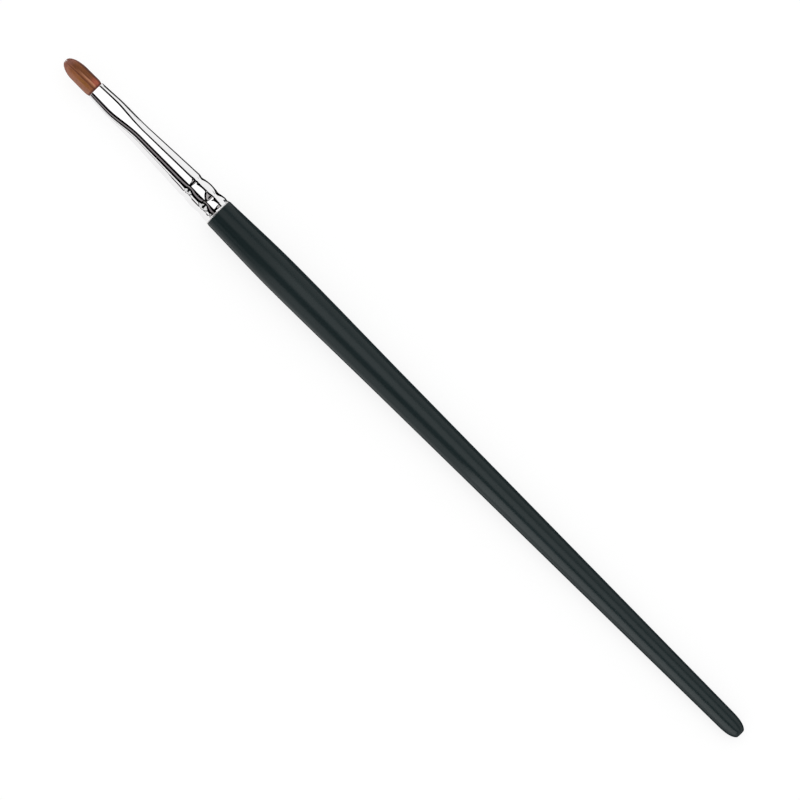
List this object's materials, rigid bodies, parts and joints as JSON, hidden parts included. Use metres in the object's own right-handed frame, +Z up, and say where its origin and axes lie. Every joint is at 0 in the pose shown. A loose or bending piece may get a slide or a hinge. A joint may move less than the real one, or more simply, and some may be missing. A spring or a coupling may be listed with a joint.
{
  "type": "lip brush",
  "caption": "Slim lip brush: flat round-ended hair tuft in a bright ferrule, pressed at the mouth and crimped onto a tapered black handle.",
  "frame": {"origin": "on the surface that the brush lies on, under the middle of its length and width", "axes": "+X along the brush from the hair to the tail, +Z up from the surface, with the flat of the hair and of the ferrule's mouth facing up; the axis falls 0.71 degrees towards the tail, as the brush lies on its belly and its tail"},
  "size_m": [0.1745, 0.0066, 0.0067],
  "materials": {
    "black_lacquer": "turned hardwood under satin black lacquer",
    "bright_nickel": "mirror-bright nickel plate on thin drawn brass",
    "brown_hair": "fine red-brown hair, soft sheen along its length",
    "waxed_thread": "waxed binding thread",
    "amber_glue": "hardened amber epoxy"
  },
  "bodies": {
    "root": {"handle": "black_lacquer", "ferrule": "bright_nickel", "hair_tuft": "brown_hair", "binding_thread": "waxed_thread", "glue_plug": "amber_glue"}
  },
  "joints": []
}
